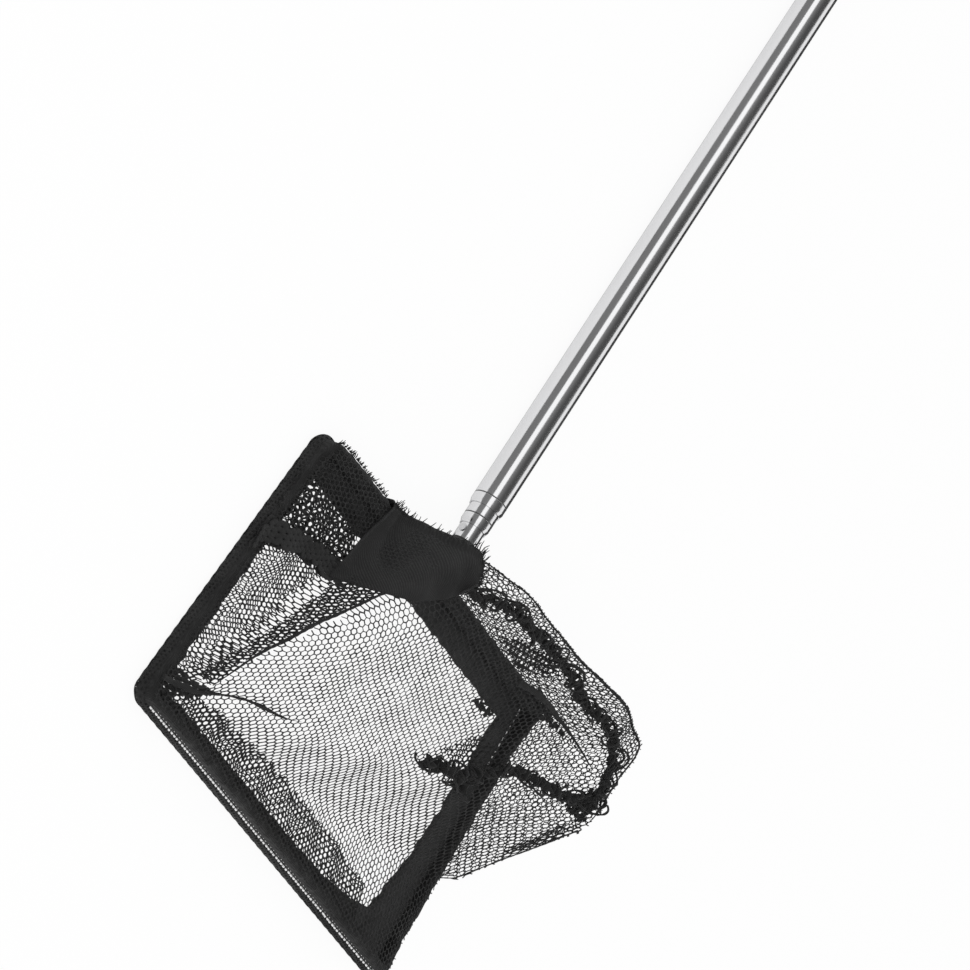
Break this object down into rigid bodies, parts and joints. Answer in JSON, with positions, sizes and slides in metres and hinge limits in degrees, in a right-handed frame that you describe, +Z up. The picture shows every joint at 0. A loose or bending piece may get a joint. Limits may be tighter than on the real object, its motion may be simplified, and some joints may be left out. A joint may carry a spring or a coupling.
{
  "type": "leaf skimmer net",
  "caption": "Framed mesh bag on a telescopic metal pole, pushed through water to lift out leaves and debris.",
  "frame": {"origin": "on the floor under the middle of the whole object's length and width, pole pushed in", "axes": "+Y along the pole from the net to the grip, +Z up from the mouth of the net, which lies on the floor, +X to the right seen from the net towards the grip"},
  "size_m": [0.3082, 0.8374, 0.1149],
  "materials": {
    "polished_steel": "polished stainless steel tube",
    "frame_steel": "galvanised spring steel wire",
    "grip_rubber": "matt soft sleeve",
    "cap_plastic": "matt moulded plastic",
    "guide_nylon": "natural nylon",
    "leaf_brass": "spring brass strip",
    "rivet_aluminium": "plain rivet",
    "wrapped_mesh": "several turns of black knitted mesh",
    "hem_cloth": "black cloth, folded and gathered",
    "bag_mesh": "black knitted mesh with six-sided holes"
  },
  "bodies": {
    "handle": {"outer_tube": "polished_steel", "outer_mouth_guide": "guide_nylon", "grip": "grip_rubber", "end_cap": "cap_plastic"},
    "middle_bush": {"middle_slide_bush": "guide_nylon", "middle_friction_leaves": "leaf_brass"},
    "middle_section": {"middle_tube": "polished_steel", "middle_mouth_guide": "guide_nylon"},
    "inner_bush": {"inner_slide_bush": "guide_nylon", "inner_friction_leaves": "leaf_brass"},
    "net": {"bag_back_wall": "bag_mesh", "bag_corner_panel": "bag_mesh", "bag_fold_panel": "bag_mesh", "bag_front_panel": "bag_mesh", "bag_left_panel": "bag_mesh", "bag_main_panel_left": "bag_mesh", "bag_main_panel_middle": "bag_mesh", "bag_main_panel_right": "bag_mesh", "bag_side_panel": "bag_mesh", "bag_side_wall": "bag_mesh", "frame_wire": "frame_steel", "hem_back": "hem_cloth", "hem_facing_back": "hem_cloth", "hem_facing_front": "hem_cloth", "hem_facing_left": "hem_cloth", "hem_facing_right": "hem_cloth", "hem_front": "hem_cloth", "hem_left": "hem_cloth", "hem_right": "hem_cloth", "inner_tube": "polished_steel", "neck_patch": "hem_cloth", "rim_wrap_back_left": "wrapped_mesh", "rim_wrap_back_right": "wrapped_mesh", "rim_wrap_front": "wrapped_mesh", "rim_wrap_left": "wrapped_mesh", "rim_wrap_right": "wrapped_mesh", "seam_back": "hem_cloth", "seam_back_left": "hem_cloth", "seam_corner": "hem_cloth", "seam_cross": "hem_cloth", "seam_side": "hem_cloth", "tip_plug": "cap_plastic", "tip_rivet": "rivet_aluminium"}
  },
  "joints": [
    {"name": "middle_slide", "type": "slide", "parent": "handle", "child": "middle_bush", "axis": [0, -1, 0], "range_m": [0, 0.4733]},
    {"name": "middle_twist", "type": "hinge", "parent": "middle_bush", "child": "middle_section", "pos_m": [0, 0.18075, 0.0135], "axis": [0, 1, 0], "continuous": true},
    {"name": "inner_slide", "type": "slide", "parent": "middle_section", "child": "inner_bush", "axis": [0, -1, 0], "range_m": [0, 0.4523]},
    {"name": "inner_twist", "type": "hinge", "parent": "inner_bush", "child": "net", "pos_m": [0, 0.18075, 0.0135], "axis": [0, 1, 0], "continuous": true}
  ]
}
